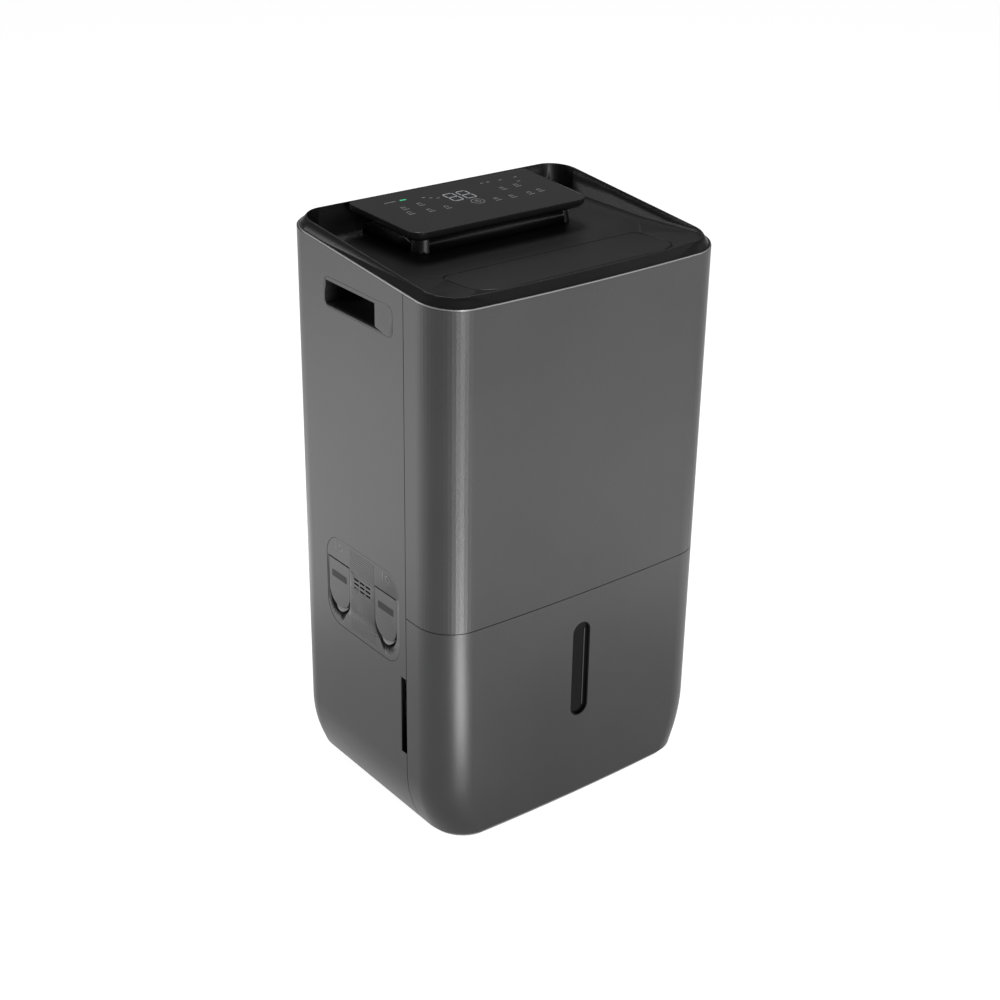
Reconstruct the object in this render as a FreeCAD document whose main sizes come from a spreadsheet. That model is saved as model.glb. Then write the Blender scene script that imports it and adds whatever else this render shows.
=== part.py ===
"""A portable compressor dehumidifier on four casters, with its water tank at the front.

The cabinet stands on the floor plane z = 0, centred on the z axis, with its front
towards -Y. Everything is in millimetres. The driving dimensions are in the
spreadsheet "sizes"; each sub-part is one object of the document.
"""
import FreeCAD
import Part
import Sketcher
import math
import os
import re
from FreeCAD import Placement, Rotation, Vector

SIZES = {
    # cabinet
    "half_width": 168.5,
    "rear_y": 128.5,
    "front_flat_y": -123.5,
    "front_crown": 5,
    "corner_radius": 39.5,
    "rear_radius": 35,
    "base_z": 12,
    "base_edge": 6,
    "foot_rise": 66,
    "foot_radius": 130,
    "foot_lean": 22,
    "wall": 2.6,
    "rim_front": 567,
    "rim_rear": 590.5,
    "seam_y": -68,
    "seam_gap": 0.8,
    "tank_top": 250,
    # chassis
    "floor_top": 18,
    "shelf_z": 254,
    "shelf_thickness": 3,
    "bulkhead_y": 2,
    "bulkhead_thickness": 2.5,
    # casters
    "caster_x": 80,
    "caster_front_y": -78,
    "caster_rear_y": 80,
    "wheel_radius": 13,
    "wheel_width": 14,
    "wheel_trail": 9,
    "stem_radius": 4,
    "pocket_radius": 27,
    "pocket_top": 31,
    # water tank
    "tub_half_width": 141,
    "tub_front_y": -114,
    "tub_rear_y": -4,
    "tub_floor": 39.5,
    "tub_top": 180,
    "tub_wall": 2.5,
    "bail_z": 193,
    "bail_arm": 46,
    "bail_y": -60,
    "bail_pin_radius": 4,
    "window_width": 22,
    "window_low": 110,
    "window_high": 217,
    # air path
    "fan_z": 396,
    "fan_radius": 80,
    "fan_front_y": -90,
    "fan_width": 44,
    "scroll_front_y": -96,
    "scroll_rear_y": -40,
    "scroll_radius": 116,
    "scroll_wall": 2.5,
    "outlet_half_width": 114,
    "coil_half_width": 120,
    "coil_low": 282,
    "coil_high": 512,
    "condenser_y": 38,
    "evaporator_y": 74,
    "coil_depth": 24,
    "tube_radius": 4,
    "intake_half_width": 128,
    "intake_low": 276,
    "intake_high": 521,
    # compressor
    "compressor_x": 40,
    "compressor_y": 60,
    "compressor_radius": 50,
    "compressor_low": 40,
    "compressor_high": 198,
    # hand grips
    "grip_rear_y": 56,
    "grip_front_y": -24,
    "grip_low": 530,
    "grip_high": 552,
    "grip_depth": 30,
    # drain panel on the left wall
    "panel_rear_y": 68,
    "panel_front_y": -58,
    "panel_low": 190,
    "panel_high": 288,
    "panel_radius": 23,
    "flap_width": 36,
    "flap_rear_y": 46.5,
    "flap_front_y": -34,
    "flap_low": 211,
    "flap_high": 262,
    "flap_thickness": 2.2,
    "spout_radius": 8.5,
    "spout_z": 234,
    # top cover and controls
    "band_inset": 8,
    "band_rise": 9,
    "dish_inset": 10,
    "dish_front": 577,
    "dish_floor": 571.5,
    "dish_bend_y": -10,
    "louvre_half_width": 118,
    "louvre_front_y": -116.5,
    "louvre_rear_y": -51,
    "louvre_pivot_y": -59,
    "louvre_gap": 0.9,
    "louvre_front_radius": 26,
    "louvre_rear_radius": 10,
    "slab_front_y": 3,
    "slab_rear_y": 113,
    "slab_front_z": 596,
    "slab_rear_z": 600.5,
    "slab_half_front": 104,
    "slab_half_rear": 107,
    "slab_thickness": 9,
}

doc = FreeCAD.newDocument("dehumidifier")
sheet = doc.addObject("Spreadsheet::Sheet", "sizes")
for row, (alias, number) in enumerate(SIZES.items(), start=1):
    sheet.set(f"A{row}", alias)
    sheet.set(f"B{row}", str(number))
    sheet.setAlias(f"B{row}", alias)
doc.recompute()

size = sheet.get
NODES = []
TALL = 700
TURN = {
    "x": Rotation(Vector(0, 1, 0), 90),
    "y": Rotation(Vector(1, 0, 0), -90),
    "z": Rotation(),
}


# ---------------------------------------------------------------- building helpers

def bound(text):
    """An expression on the sheet, from plain text with its aliases."""
    return re.sub(r"[a-z_]+", lambda word: "sizes." + word[0] if word[0] in SIZES else word[0], str(text))


def node(label, thing):
    """Give a finished sub-part its name."""
    thing.Label = label
    NODES.append(thing)
    return thing


def box(name, x, y, z):
    """A block between two expressions along each axis."""
    block = doc.addObject("Part::Box", name)
    for side, axis, (low, high) in (("Length", "x", x), ("Width", "y", y), ("Height", "z", z)):
        block.setExpression(side, bound(f"({high}) - ({low})"))
        block.setExpression(f"Placement.Base.{axis}", bound(low))
    return block


def rod(name, axis, base, radius, length):
    """A cylinder that starts at base and runs along +axis."""
    cylinder = doc.addObject("Part::Cylinder", name)
    cylinder.Placement = Placement(Vector(), TURN[axis])
    cylinder.setExpression("Radius", bound(radius))
    cylinder.setExpression("Height", bound(length))
    for direction, place in zip("xyz", base):
        cylinder.setExpression(f"Placement.Base.{direction}", bound(place))
    return cylinder


def join(name, parts):
    """Several solids as one object."""
    union = doc.addObject("Part::MultiFuse", name)
    union.Shapes = parts
    return union


def cut(name, base, *tools):
    """The base without the tools."""
    result = doc.addObject("Part::Cut", name)
    result.Base = base
    result.Tool = tools[0] if len(tools) == 1 else join(name + "_tools", list(tools))
    return result


def made(name, shape):
    """An object that holds a shape made by Part's own functions."""
    feature = doc.addObject("Part::Feature", name)
    feature.Shape = shape
    return feature


def origin_plane(body, role):
    return next(item for item in body.Origin.OriginFeatures if item.Role == role)


def amount(text):
    """The number that an expression on the sheet comes to."""
    return float(sheet.evalExpression(bound(text)))


def outline(body, plane, corners):
    """A closed sketch whose corners are pairs of expressions."""
    sketch = body.newObject("Sketcher::SketchObject", body.Name + "_outline")
    sketch.AttachmentSupport = (origin_plane(body, plane), "")
    sketch.MapMode = "FlatFace"
    points = [Vector(amount(u), amount(v), 0) for u, v in corners]
    count = len(points)
    for i in range(count):
        sketch.addGeometry(Part.LineSegment(points[i], points[(i + 1) % count]), False)
    for i in range(count):
        sketch.addConstraint(Sketcher.Constraint("Coincident", i, 2, (i + 1) % count, 1))
    for i, pair in enumerate(corners):
        for direction, text in zip(("DistanceX", "DistanceY"), pair):
            index = sketch.addConstraint(Sketcher.Constraint(direction, -1, 1, i, 1, amount(text)))
            sketch.setExpression(f"Constraints[{index}]", bound(text))
    return sketch


def turned(name, axis, base, profile):
    """A body of revolution: its profile is pairs of radius and height along the axis."""
    body = doc.addObject("PartDesign::Body", name)
    body.Placement = Placement(Vector(), TURN[axis])
    for direction, place in zip("xyz", base):
        body.setExpression(f"Placement.Base.{direction}", bound(place))
    sketch = outline(body, "XZ_Plane", profile)
    spin = body.newObject("PartDesign::Revolution", name + "_turned")
    spin.Profile = sketch
    spin.ReferenceAxis = (sketch, ["V_Axis"])
    spin.Angle = 360
    return body


def plate(name, plane, corners, thickness, offset="0"):
    """A padded outline. Its sketch plane is shifted by offset along the plane's normal."""
    body = doc.addObject("PartDesign::Body", name)
    sketch = outline(body, plane, corners)
    shift = {"XY_Plane": "z", "XZ_Plane": "y", "YZ_Plane": "x"}[plane]
    body.setExpression(f"Placement.Base.{shift}", bound(offset))
    pad = body.newObject("PartDesign::Pad", name + "_pad")
    pad.Profile = sketch
    pad.setExpression("Length", bound(thickness))
    pad.Reversed = plane == "XZ_Plane"
    return body


def rounded(body, radius, axis):
    """Round the edges of a padded body that run along one axis."""
    doc.recompute()
    feature = body.Tip
    names = []
    for number, edge in enumerate(feature.Shape.Edges, start=1):
        span = edge.BoundBox
        sides = {"x": span.XLength, "y": span.YLength, "z": span.ZLength}
        if sides[axis] > 0.5 and sum(sides.values()) - sides[axis] < 0.01:
            names.append(f"Edge{number}")
    fillet = body.newObject("PartDesign::Fillet", body.Name + "_rounds")
    fillet.Base = (feature, names)
    fillet.setExpression("Radius", bound(radius))
    return body


# ---------------------------------------------------------------- cabinet form

def rim_height(y, above=0):
    """Height of the sloping rim of the cabinet at a place from front to rear."""
    front = size("front_flat_y") - size("front_crown")
    slope = (size("rim_rear") - size("rim_front")) / (size("rear_y") - front)
    return size("rim_front") + (y - front) * slope + above


def below_rim(above=0):
    """Everything below the rim's sloping plane, raised by a distance."""
    far = 200
    corners = [
        Vector(-far, -far, 0),
        Vector(-far, far, 0),
        Vector(-far, far, rim_height(far, above)),
        Vector(-far, -far, rim_height(-far, above)),
    ]
    return Part.Face(Part.makePolygon(corners + corners[:1])).extrude(Vector(2 * far, 0, 0))


def plan_wire(half, inset, z):
    """The cabinet's outline from above at a height, drawn in by inset.

    The front is one wide arc, and every corner arc is tangent to its neighbours.
    """
    crown, width = size("front_crown"), size("half_width")
    bow = (width ** 2 + crown ** 2) / (2 * crown)
    centre_y = size("front_flat_y") - crown + bow
    bow -= inset
    rear = size("rear_y") - inset
    radius, rear_radius = size("corner_radius") - inset, size("rear_radius") - inset
    corner = Vector(half - radius, centre_y - math.sqrt((bow - radius) ** 2 - (half - radius) ** 2), z)
    away = Vector(corner.x, corner.y - centre_y, 0).normalize()
    touch = corner + away * radius
    half_way = (away + Vector(1, 0, 0)).normalize()
    diagonal = Vector(math.sqrt(0.5), math.sqrt(0.5), 0)
    rear_corner = Vector(half - rear_radius, rear - rear_radius, z)

    right = [
        (corner + Vector(radius, 0, 0), None, rear_corner + Vector(rear_radius, 0, 0)),
        (rear_corner + Vector(rear_radius, 0, 0), rear_corner + diagonal * rear_radius,
         rear_corner + Vector(0, rear_radius, 0)),
    ]
    front_arc = (touch, corner + half_way * radius, corner + Vector(radius, 0, 0))

    def flipped(arc):
        return tuple(None if point is None else Vector(-point.x, point.y, point.z) for point in reversed(arc))

    rear_line = (rear_corner + Vector(0, rear_radius, 0), None, flipped(right[1])[0])
    crown_arc = (flipped(front_arc)[2], Vector(0, centre_y - bow, z), touch)
    around = [crown_arc, front_arc] + right + [rear_line, flipped(right[1]), flipped(right[0]), flipped(front_arc)]
    edges = [
        Part.makeLine(start, end) if middle is None else Part.Arc(start, middle, end).toShape()
        for start, middle, end in around
    ]
    return Part.Wire(edges)


def cabinet_form(inset):
    """The cabinet as a full block with rounded corners and foot, drawn in by inset."""
    width, radius = size("half_width"), size("foot_radius")
    centre_x, centre_z = width - radius, size("base_z") + size("foot_rise")
    radius -= inset
    lean = math.radians(size("foot_lean"))
    low = size("base_z") + (inset if inset > 0 else size("base_edge"))
    sections = []
    steps = 4
    for i in range(steps + 1):
        turn = lean * i / steps
        height = centre_z - radius * math.sin(turn)
        sections.append(plan_wire(centre_x + radius * math.cos(turn), inset, height))
    toe = centre_x + radius * math.cos(lean) - (height - low) * math.tan(lean)
    body = Part.Face(plan_wire(width - inset, inset, centre_z)).extrude(Vector(0, 0, TALL - centre_z))
    foot = Part.makeLoft(sections, True, False)
    ankle = Part.makeLoft([sections[-1], plan_wire(toe, inset, low)], True, True)
    form = body.fuse([foot, ankle])
    if inset == 0:
        edge = size("base_edge")
        sole = Part.makeLoft([
            plan_wire(toe, 0, low), plan_wire(toe - edge, edge * 0.8, size("base_z"))], True, True)
        form = form.fuse(sole)
    return form.removeSplitter()


def block_of(x0, x1, y0, y1, z0, z1):
    """A plain block between coordinates, for cutting shapes made in code."""
    return Part.makeBox(x1 - x0, y1 - y0, z1 - z0, Vector(x0, y0, z0))


def cabinet_wall(region):
    """The part of the cabinet's outer wall that lies inside a block.

    The wall stops at the sloping rim, and its floor is open under the chassis.
    """
    wall, base = size("wall"), size("base_z")
    reach = size("rear_y") - 14
    opening = block_of(-107, 107, -reach, reach, base - 1, base + wall + 1)
    return cabinet_form(0).common(region).cut(cabinet_form(wall)).cut(opening).common(below_rim())


# ---------------------------------------------------------------- cabinet walls

def stadium(name, x, centre_y, width, low, high):
    """A block with a half-round lower end, running along X between two expressions."""
    half = f"({width}) / 2"
    upper = box(name + "_upper", x, (f"{centre_y} - {half}", f"{centre_y} + {half}"), (f"{low} + {half}", high))
    base = (x[0], centre_y, f"{low} + {half}")
    return join(name, [upper, rod(name + "_end", "x", base, half, f"({x[1]}) - ({x[0]})")])


def panel_outline(name, inset, thickness, x):
    """The drain panel's rounded outline as a plate at a place along X."""
    corners = [
        (f"panel_front_y + {inset}", f"panel_low + {inset}"),
        (f"panel_rear_y - {inset}", f"panel_low + {inset}"),
        (f"panel_rear_y - {inset}", f"panel_high - {inset}"),
        (f"panel_front_y + {inset}", f"panel_high - {inset}"),
    ]
    return rounded(plate(name, "YZ_Plane", corners, thickness, x), f"panel_radius - {inset}", "x")


def grip_outline(name, inset, thickness, x):
    """The hand grip's flush plate: it runs forward past the recess to a small icon field."""
    corners = [
        (f"grip_front_y - 28 + {inset}", f"grip_low - 4 + {inset}"),
        (f"grip_rear_y + 3 - {inset}", f"grip_low - 4 + {inset}"),
        (f"grip_rear_y + 3 - {inset}", f"grip_high + 4 - {inset}"),
        (f"grip_front_y - 28 + {inset}", f"grip_high + 4 - {inset}"),
    ]
    return rounded(plate(name, "YZ_Plane", corners, thickness, x), f"8 - {inset}", "x")


def screw_places():
    return [(x, z) for x in (-112, 112) for z in (126, 238, 555)]


def cabinet_walls():
    """The upper front, and the rear case that is both sides and the back in one moulding."""
    rear_y, far = size("rear_y") + 1, size("half_width") + 1
    seam, gap, top = size("seam_y"), size("seam_gap") / 2, size("tank_top")
    front_y = size("front_flat_y") - size("front_crown") - 1
    front = cabinet_wall(block_of(-far, far, front_y, seam - gap, top + gap, TALL))
    node("front_panel", made("front_panel", front))

    rear = made("rear_shell", cabinet_wall(block_of(-far, far, seam + gap, rear_y, 0, TALL)))
    intake = box(
        "intake_opening",
        ("-intake_half_width", "intake_half_width"), ("rear_y - 6", "rear_y + 1"), ("intake_low", "intake_high"),
    )
    slots = [
        box(f"pull_slot_{side}", x, ("seam_y - 1", "seam_y + 9"), ("97", "182"))
        for side, x in (("left", ("-half_width - 1", "-half_width + 8")), ("right", ("half_width - 8", "half_width + 1")))
    ]
    grips = [
        grip_outline("grip_hole_left", 0, "4", "-half_width - 1.2"),
        grip_outline("grip_hole_right", 0, "4", "half_width - 2.8"),
    ]
    seats = []
    for x, z in screw_places():
        seats.append(rod(f"screw_seat_{x + 200}_{z}", "y", (str(x), "rear_y - 1.2", str(z)), "3.9", "2"))
        seats.append(rod(f"screw_hole_{x + 200}_{z}", "y", (str(x), "rear_y - 5", str(z)), "1.7", "5"))
    drain = panel_outline("drain_panel_hole", 0, "4", "-half_width - 1")
    gland = rod("gland_hole", "y", ("108", "rear_y - 6", "76"), "7", "8")
    node("rear_case", cut("rear_case", rear, intake, drain, gland, *slots, *grips, *seats))


def hand_grips():
    """A cup behind each side wall, with its flush plate, screwed in from inside."""
    for side, sign in (("left", -1), ("right", 1)):
        plate_x = "-half_width" if sign < 0 else "half_width - wall"
        front = grip_outline(f"grip_plate_{side}", 0.3, "wall", plate_x)
        outer_x = ("-half_width + 2.6", "-half_width + grip_depth + 2")
        inner_x = ("-half_width + 2.5", "-half_width + grip_depth")
        mouth_x = ("-half_width - 1", "-half_width + 4")
        if sign > 0:
            outer_x, inner_x, mouth_x = (
                tuple(f"-1 * ({text})" for text in reversed(pair)) for pair in (outer_x, inner_x, mouth_x)
            )
        cup = box(
            f"grip_cup_{side}", outer_x, ("grip_front_y - 2.5", "grip_rear_y + 2.5"), ("grip_low - 2.5", "grip_high + 9")
        )
        hollow = box(
            f"grip_hollow_{side}", inner_x, ("grip_front_y", "grip_rear_y"), ("grip_low", "grip_high + 6.5")
        )
        mouth = box(f"grip_mouth_{side}", mouth_x, ("grip_front_y", "grip_rear_y"), ("grip_low", "grip_high"))
        shell = join(f"grip_shell_{side}", [front, cup])
        node(f"handle_cup_{side}", cut(f"handle_cup_{side}", shell, hollow, mouth))


def drain_panel():
    """The panel in the left wall, with its two pockets, their flaps and the sensor vents."""
    front = panel_outline("drain_panel_plate", 0.4, "2.2", "-half_width + 0.2")
    back = panel_outline("drain_panel_back", 2.5, "15.4", "-half_width + 2.4")
    pockets = []
    for place in ("flap_rear_y", "flap_front_y"):
        pockets.append(stadium(
            "pocket_" + place, ("-half_width - 1", "-half_width + 15.5"), place,
            "flap_width + 0.8", "flap_low - 7", "flap_high + 1.2",
        ))
    vents = [
        box(
            f"vent_{row}_{column}", ("-half_width - 1", "-half_width + 20"),
            (f"{-8 + 10 * column}", f"{-8 + 10 * column} + 8"), (f"{244 + 4.8 * row}", f"{244 + 4.8 * row} + 2"),
        )
        for row in range(3) for column in range(3)
    ]
    holes = [
        rod("spigot_hole", "x", ("-half_width + 14", "flap_front_y", "spout_z"), "6.1", "6"),
        rod("connector_hole", "x", ("-half_width + 14", "flap_rear_y", "spout_z"), "6.1", "6"),
    ]
    pin_x, pin_z = "-half_width + 0.2 + flap_thickness / 2", "flap_high - flap_thickness / 2"
    bridge = rod("flap_pin", "y", (pin_x, "flap_front_y - flap_width / 2 - 2", pin_z), "0.5",
                 "flap_rear_y - flap_front_y + flap_width + 4")
    plain = cut("drain_panel_plain", join("drain_panel_body", [front, back]), *pockets, *vents, *holes)
    node("service_panel", join("service_panel", [plain, bridge]))

    for name, place in (("pump_flap", "flap_rear_y"), ("drain_flap", "flap_front_y")):
        lid = stadium(
            name + "_lid", ("-half_width + 0.2", "-half_width + 0.2 + flap_thickness"), place,
            "flap_width", "flap_low", pin_z,
        )
        knuckle = rod(
            name + "_knuckle", "y", (pin_x, f"{place} - flap_width / 2", pin_z), "flap_thickness / 2", "flap_width",
        )
        pin_hole = rod(name + "_pin_hole", "y", (pin_x, f"{place} - 20", pin_z), "0.54", "40")
        node(name, cut(name, join(name + "_body", [lid, knuckle]), pin_hole))

    spigot_profile = [
        ("4", "0"), ("6", "0"), ("6", "6.6"), ("9.5", "6.6"), ("9.5", "8"), ("spout_radius", "8"),
        ("spout_radius", "19"), ("4", "19"),
    ]
    spigot = turned("drain_spigot", "x", ("-half_width + 22", "flap_front_y", "spout_z"), spigot_profile)
    spigot.Placement = Placement(Vector(), Rotation(Vector(0, 1, 0), -90))
    node("drain_spigot", spigot)
    connector_profile = [("3.2", "0"), ("6", "0"), ("6", "6.6"), ("8", "6.6"), ("8", "17"), ("3.2", "17")]
    connector = turned("pump_connector", "x", ("-half_width + 22", "flap_rear_y", "spout_z"), connector_profile)
    connector.Placement = Placement(Vector(), Rotation(Vector(0, 1, 0), -90))
    node("pump_connector", connector)


# ---------------------------------------------------------------- chassis and casters

def caster_places():
    for end in ("front", "rear"):
        for side, sign in (("left", -1), ("right", 1)):
            yield f"{end}_{side}", sign * size("caster_x"), size(f"caster_{end}_y")


def chassis():
    """The floor tray with a pocket over each caster, the bulkhead and the shelf."""
    fit = size("wall") + 0.5
    inner = cabinet_form(fit)
    far, top, low = size("half_width"), size("floor_top"), size("base_z")
    tray = inner.common(block_of(-far, far, -far, far, low, top))
    for _, x, y in caster_places():
        dome = Part.makeCylinder(size("pocket_radius") + 2, size("pocket_top") + 3 - low, Vector(x, y, low + 3.2))
        tray = tray.fuse(dome.common(inner))
    for _, x, y in caster_places():
        tray = tray.cut(Part.makeCylinder(size("pocket_radius"), size("pocket_top") - low, Vector(x, y, low)))
        tray = tray.cut(Part.makeCylinder(size("stem_radius") + 0.06, 30, Vector(x, y, low)))
    node("base_tray", made("base_tray", tray.removeSplitter()))

    wall_y = size("bulkhead_y")
    slab = block_of(-far, far, wall_y, wall_y + size("bulkhead_thickness"), top + 0.2, size("shelf_z") - 0.2)
    slab = slab.common(inner).cut(block_of(-far, -far + 21, -5, 10, size("panel_low") - 3, TALL))
    for _, x, y in caster_places():
        slab = slab.cut(Part.makeCylinder(size("pocket_radius") + 3, size("pocket_top") + 4, Vector(x, y, 0)))
    node("tank_bulkhead", made("tank_bulkhead", slab))

    shelf_z = size("shelf_z")
    shelf = block_of(-far, far, -far, 30, shelf_z, shelf_z + size("shelf_thickness")).common(inner)
    shelf = shelf.cut(Part.makeCylinder(11, 10, Vector(40, -20, shelf_z - 2)))
    panel_notch = block_of(-far, -far + 21, size("panel_front_y") - 3, size("panel_rear_y") + 3, 180, 310)
    node("mid_shelf", made("mid_shelf", shelf.cut(panel_notch)))


def casters():
    """Four swivel casters: a fork with its stem, and a wheel on its own axle pin."""
    for place, x, y in caster_places():
        axle = size("wheel_radius")
        half = size("wheel_width") / 2
        trail = size("wheel_trail")
        crown = Part.makeCylinder(11, 2.4, Vector(x, y, size("pocket_top") - 3.2))
        stem = Part.makeCylinder(size("stem_radius"), 6.5, Vector(x, y, size("pocket_top") - 1))
        fork = crown.fuse(stem)
        for sign in (-1, 1):
            low = min(x + sign * (half + 0.6), x + sign * (half + 2.6))
            cheek = block_of(low, low + 2, y - 6, y + trail + 4, axle - 4, size("pocket_top") - 1.2)
            fork = fork.fuse(cheek)
        bridge = block_of(x - half - 2.6, x + half + 2.6, y - 9, y + trail + 2, size("pocket_top") - 3.2, size("pocket_top") - 0.8)
        fork = fork.fuse(bridge)
        bore = Part.makeCylinder(2.06, 30, Vector(x - 15, y + trail, axle), Vector(1, 0, 0))
        node(f"caster_fork_{place}", made(f"caster_fork_{place}", fork.cut(bore).removeSplitter()))

        tread = Part.makeCylinder(axle, 2 * half, Vector(x - half, y + trail, axle), Vector(1, 0, 0))
        tread = tread.makeFillet(1.5, [edge for edge in tread.Edges if len(edge.Vertexes) == 1])
        pin = Part.makeCylinder(2, 2 * half + 5, Vector(x - half - 2.5, y + trail, axle), Vector(1, 0, 0))
        node(f"caster_wheel_{place}", made(f"caster_wheel_{place}", tread.fuse(pin)))


# ---------------------------------------------------------------- water tank

def water_tank():
    """The pull-out tank: its front cover, window, tub, lid, bail handle and float."""
    far = size("half_width") + 1
    seam, gap = size("seam_y"), size("seam_gap") / 2
    front_y = size("front_flat_y") - size("front_crown") - 1
    region = block_of(-far, far, front_y, seam - gap, 0, size("tank_top") - gap)
    cover = made("tank_cover_wall", cabinet_wall(region))
    half = "window_width / 2"
    slot = join("window_slot", [
        box("window_slot_middle", (f"-{half}", half), ("front_flat_y - front_crown - 2", "front_flat_y + 6"),
            (f"window_low + {half}", f"window_high - {half}")),
        rod("window_slot_low", "y", ("0", "front_flat_y - front_crown - 2", f"window_low + {half}"), half, "front_crown + 8"),
        rod("window_slot_high", "y", ("0", "front_flat_y - front_crown - 2", f"window_high - {half}"), half, "front_crown + 8"),
    ])
    node("tank_front", cut("tank_front", cover, slot))

    pane = f"({half} + 3)"
    strip = box("window_strip", (f"-{pane}", pane), ("front_flat_y - 2", "front_flat_y + 1.5"),
                ("window_low - 5", "window_high + 5"))
    node("tank_window", strip)

    half_tub = size("tub_half_width")
    y0, y1 = size("tub_front_y"), size("tub_rear_y")
    z0, z1, wall = size("tub_floor"), size("tub_top"), size("tub_wall")
    tub = cabinet_form(8).common(block_of(-half_tub, half_tub, y0, y1, z0, z1))
    hollow = cabinet_form(8 + wall).common(
        block_of(-half_tub + wall, half_tub - wall, y0 + wall, y1 - wall, z0 + wall, z1 + 1))
    tub = tub.cut(hollow)
    for x in (-90, 90):
        for z in (70, 150):
            tub = tub.fuse(block_of(x - 6, x + 6, y0 - 8, y0 + 1, z, z + 10))
    node("tank_tub", made("tank_tub", tub.removeSplitter()))

    inset = 4
    lid = block_of(-half_tub + 0.1, half_tub - 0.1, y0 + 0.1, y1 - 0.1, z1 + 0.2, z1 + 3)
    lip = block_of(-half_tub + inset, half_tub - inset, y0 + inset, y1 - inset, z1 - 4, z1 + 0.5)
    inlet = Part.makeCylinder(16, 12, Vector(40, -20, z1 - 6))
    pour = block_of(-half_tub + 10, -half_tub + 50, y0 + 12, y0 + 34, z1 - 6, z1 + 4)
    float_hole = block_of(65.2, 97.8, y1 - 50, y1 - 12, z1 - 6, z1 + 4)
    lid = lid.fuse(lip).cut(inlet).cut(pour).cut(float_hole)

    bail_y, bail_z, pin = size("bail_y"), size("bail_z"), size("bail_pin_radius")
    for sign in (-1, 1):
        low = min(sign * (half_tub - 6), sign * (half_tub - 2.6))
        ear = block_of(low, low + 3.4, bail_y - 8, bail_y + 8, z1 + 1, bail_z + 6)
        lid = lid.fuse(ear.cut(Part.makeCylinder(pin + 0.05, 300, Vector(-150, bail_y, bail_z), Vector(1, 0, 0))))
    x0, y_pin, z_pin = 66, y1 - 31, z1 - 12
    for x in (x0 - 5, x0 + 32):
        hanger = block_of(x, x + 3, y_pin - 4, y_pin + 4, z_pin - 4, z1 + 2.5)
        lid = lid.fuse(hanger.cut(Part.makeCylinder(1.55, 80, Vector(x0 - 20, y_pin, z_pin), Vector(1, 0, 0))))
    node("tank_lid", made("tank_lid", lid.removeSplitter()))

    arm, span = size("bail_arm"), half_tub - 8.4
    bars = [block_of(-span, span, bail_y + arm - 6, bail_y + arm + 6, bail_z - 3.5, bail_z + 3.5)]
    for sign in (-1, 1):
        low = min(sign * span, sign * (span - 5))
        bars.append(block_of(low, low + 5, bail_y - 6, bail_y + arm, bail_z - 3.5, bail_z + 3.5))
        start = span - 3 if sign > 0 else -half_tub + 2.4
        bars.append(Part.makeCylinder(pin, half_tub - span + 0.6, Vector(start, bail_y, bail_z), Vector(1, 0, 0)))
    bail = bars[0].fuse(bars[1:]).removeSplitter()
    node("tank_handle", made("tank_handle", bail))

    paddle = block_of(x0, x0 + 30, y_pin - 6, y_pin + 14, z_pin - 26, z_pin - 8)
    lever = block_of(x0 + 12, x0 + 18, y_pin - 3, y_pin + 3, z_pin - 10, z_pin + 3)
    pivot = Part.makeCylinder(1.5, 44, Vector(x0 - 7, y_pin, z_pin), Vector(1, 0, 0))
    node("tank_float", made("tank_float", paddle.fuse([lever, pivot]).removeSplitter()))


# ---------------------------------------------------------------- air path

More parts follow.
